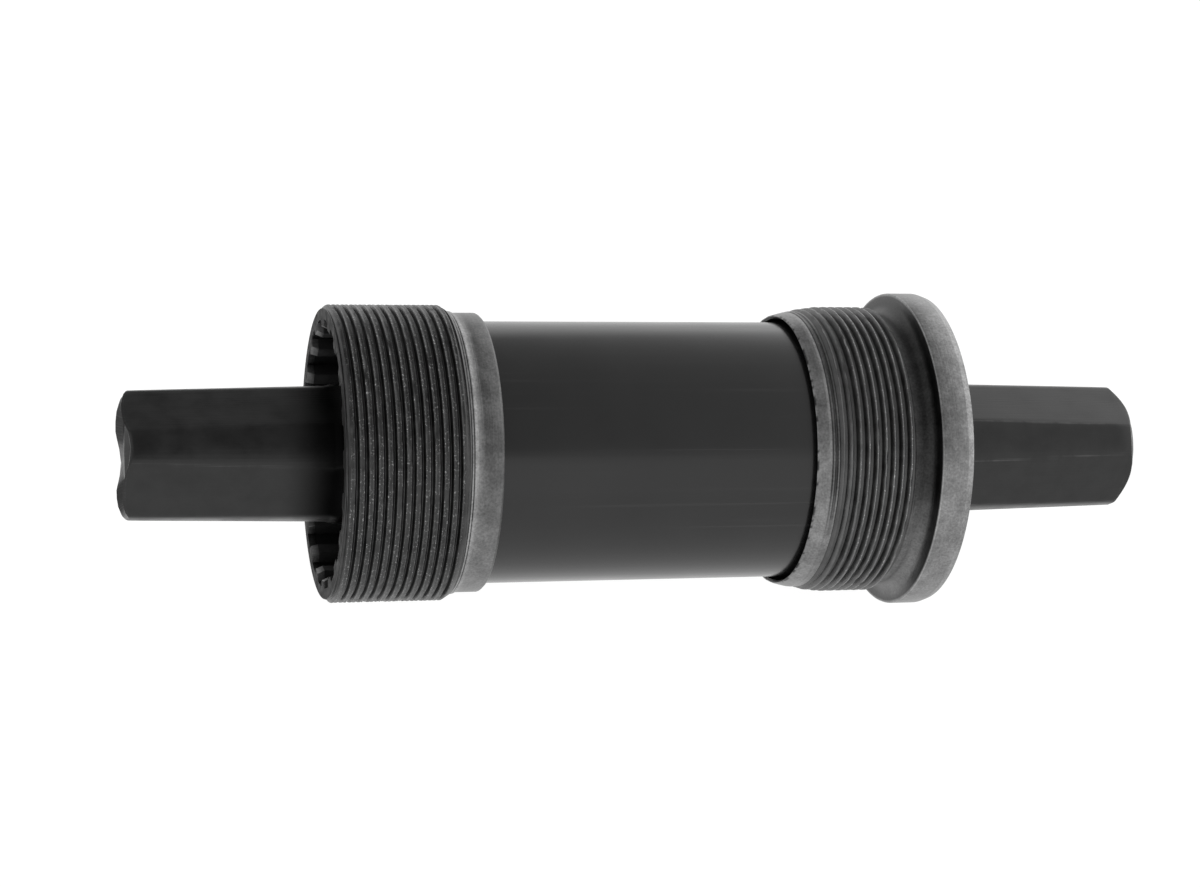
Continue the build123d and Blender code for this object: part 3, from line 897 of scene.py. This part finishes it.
def bearing_steel():
    recipe = Recipe("bearing_steel", {"Metallic": 1.0})
    turned = recipe.noise(recipe.stretched(20.0, 1.5), 2.0)
    recipe.colour(recipe.spread(turned, 0.52, 0.62))
    recipe.roughness(recipe.spread(turned, 0.12, 0.22))
    recipe.bump(turned, 0.002)
    return recipe.material


def ball_steel():
    recipe = Recipe("ball_steel", {"Metallic": 1.0})
    smear = recipe.noise(recipe.scaled(0.8), 3.0)
    recipe.colour(recipe.spread(smear, 0.6, 0.7))
    recipe.roughness(recipe.spread(smear, 0.04, 0.1))
    return recipe.material


def spacer_steel():
    recipe = Recipe("spacer_steel", {"Metallic": 1.0})
    drawn = recipe.noise(recipe.stretched(0.05, 30), 3.0)
    recipe.colour(recipe.spread(drawn, 0.3, 0.38))
    recipe.roughness(recipe.spread(drawn, 0.3, 0.45))
    recipe.bump(drawn, 0.01)
    return recipe.material


def spring_steel():
    recipe = Recipe("spring_steel", {"Metallic": 1.0})
    grain = recipe.noise(recipe.scaled(3.0), 3.0)
    recipe.colour(recipe.spread(grain, 0.05, 0.09))
    recipe.roughness(recipe.spread(grain, 0.35, 0.5))
    recipe.bump(grain, 0.01)
    return recipe.material


def seal_rubber():
    recipe = Recipe("seal_rubber", {"IOR": 1.4})
    grain = recipe.noise(recipe.scaled(4.0), 3.0)
    recipe.colour(recipe.maths("MULTIPLY_ADD", grain, 0.008, 0.004))
    recipe.roughness(recipe.spread(grain, 0.6, 0.8))
    recipe.bump(grain, 0.02)
    return recipe.material


def cage_nylon():
    recipe = Recipe("cage_nylon", {"IOR": 1.53})
    cloud = recipe.noise(recipe.scaled(0.7), 3.0)
    tint = recipe.nodes.new("ShaderNodeMix")
    tint.data_type = "RGBA"
    recipe.put(tint.inputs["Factor"], cloud)
    colour_a, colour_b = tint.inputs[6], tint.inputs[7]
    colour_a.default_value = (0.5, 0.44, 0.31, 1)
    colour_b.default_value = (0.6, 0.55, 0.42, 1)
    recipe.colour(tint.outputs[2])
    recipe.roughness(recipe.spread(cloud, 0.4, 0.55))
    recipe.bump(cloud, 0.01)
    return recipe.material


def finish_inner_nodes():
    """Gives every CAD node that is still shown its material."""
    finishes = {
        "_race": bearing_steel(),
        "_balls": ball_steel(),
        "_cage": cage_nylon(),
        "_seal": seal_rubber(),
        "_ring": spring_steel(),
        "_tube": spacer_steel(),
    }
    for name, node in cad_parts.items():
        for ending, material in finishes.items():
            if name.endswith(ending):
                for material_slot in node.material_slots:
                    material_slot.material = material


# Studio


def camera():
    """The camera looks at the part from in front and above, and from left of its middle."""
    turn = Matrix.Rotation(-CAMERA_ELEVATION, 3, "X")
    ahead = Vector((sin(CAMERA_YAW), cos(CAMERA_YAW), 0))
    right = Vector((cos(CAMERA_YAW), -sin(CAMERA_YAW), 0))
    up = Vector((0, 0, 1))
    ahead, up = (
        ahead * cos(CAMERA_TILT) + up * sin(CAMERA_TILT),
        up * cos(CAMERA_TILT) - ahead * sin(CAMERA_TILT),
    )
    right, up = (
        right * cos(CAMERA_ROLL) + up * sin(CAMERA_ROLL),
        up * cos(CAMERA_ROLL) - right * sin(CAMERA_ROLL),
    )
    data = bpy.data.cameras.new("camera")
    data.sensor_width = SENSOR_WIDTH
    data.lens = LENS
    data.clip_start = CLIP_START
    obj = bpy.data.objects.new("camera", data)
    bpy.context.scene.collection.objects.link(obj)
    facing = turn @ Matrix((right, up, -ahead)).transposed()
    place = turn @ Vector((CAMERA_X, -CAMERA_DISTANCE, 0)) * MM
    obj.matrix_world = Matrix.Translation(place) @ facing.to_4x4()
    bpy.context.scene.camera = obj


def floor():
    """Pale floor just under the flange. Its glow hides the part's shadow, as the picture has none."""
    half = FLOOR_HALF
    height = -(FLANGE_R + FLOOR_GAP) * MM
    mesh = bmesh.new()
    corners = [(-half, -half), (half, -half), (half, half), (-half, half)]
    mesh.faces.new([mesh.verts.new((x, y, height)) for x, y in corners])
    data = bpy.data.meshes.new("floor")
    mesh.to_mesh(data)
    mesh.free()
    obj = bpy.data.objects.new("floor", data)
    bpy.context.scene.collection.objects.link(obj)
    material = bpy.data.materials.new("floor_white")
    material.use_nodes = True
    shader = material.node_tree.nodes["Principled BSDF"]
    shader.inputs["Base Color"].default_value = (0.1, 0.1, 0.1, 1)
    shader.inputs["Roughness"].default_value = 0.9
    shader.inputs["Specular IOR Level"].default_value = 0.1
    shader.inputs["Emission Color"].default_value = (1, 1, 1, 1)
    shader.inputs["Emission Strength"].default_value = 0.98
    data.materials.append(material)


def light_tent():
    """White all round to the camera, and shaded for the part.

    The part sees it bright on the right, half as bright on the left, and bright below the camera and
    behind. Towards the right and a little behind, it is brighter still.
    """
    world = bpy.data.worlds.new("tent")
    world.use_nodes = True
    nodes = world.node_tree.nodes
    links = world.node_tree.links
    direction = nodes.new("ShaderNodeTexCoord").outputs["Generated"]

    def facing(way, low, high, to_low, to_high):
        """Shade from to_low to to_high, as a direction's part along way goes from low to high."""
        dot = nodes.new("ShaderNodeVectorMath")
        dot.operation = "DOT_PRODUCT"
        links.new(direction, dot.inputs[0])
        dot.inputs[1].default_value = way
        shade = nodes.new("ShaderNodeMapRange")
        shade.interpolation_type = "SMOOTHSTEP"
        links.new(dot.outputs["Value"], shade.inputs["Value"])
        for target, number in zip(list(shade.inputs)[1:5], (low, high, to_low, to_high)):
            target.default_value = number
        return shade.outputs["Result"]

    def joined(operation, a, b):
        node = nodes.new("ShaderNodeMath")
        node.operation = operation
        links.new(a, node.inputs[0])
        links.new(b, node.inputs[1])
        return node.outputs[0]

    right = facing((1, 0, 0), 0.0, 0.5, 0.2, 1.0)
    left = facing((-1, 0, 0), 0.05, 0.5, 0.0, 0.5)
    sides = joined("ADD", right, left)
    front = facing((0, -0.581, -0.814), -0.02, 0.03, 0.0, 1.15)
    back = facing((0, 1, -0.25), 0.68, 0.95, 0.0, 1.1)
    corner = facing((1, 0.3, 0), 0.54, 0.68, 0.0, 0.9)
    tent = joined("ADD", joined("MAXIMUM", joined("MAXIMUM", sides, front), back), corner)
    seen = nodes.new("ShaderNodeLightPath")
    colour = nodes.new("ShaderNodeMix")
    colour.data_type = "FLOAT"
    links.new(seen.outputs["Is Camera Ray"], colour.inputs["Factor"])
    links.new(tent, colour.inputs["A"])
    colour.inputs["B"].default_value = 1.0
    links.new(colour.outputs["Result"], nodes["Background"].inputs["Color"])
    bpy.context.scene.world = world


def studio():
    camera()
    floor()
    light_tent()
    bpy.context.scene.view_settings.view_transform = "Standard"


studio()
metal = cup_metal()
black = socket_black()
adapter_cup(metal, thread_metal("adapter_thread", 0.05, 1.6), black)
fixed_cup(metal, thread_metal("fixed_thread", 0.12, 1.4), black)
cartridge_sleeve(sleeve_coat())
spindle(spindle_steel())
finish_inner_nodes()
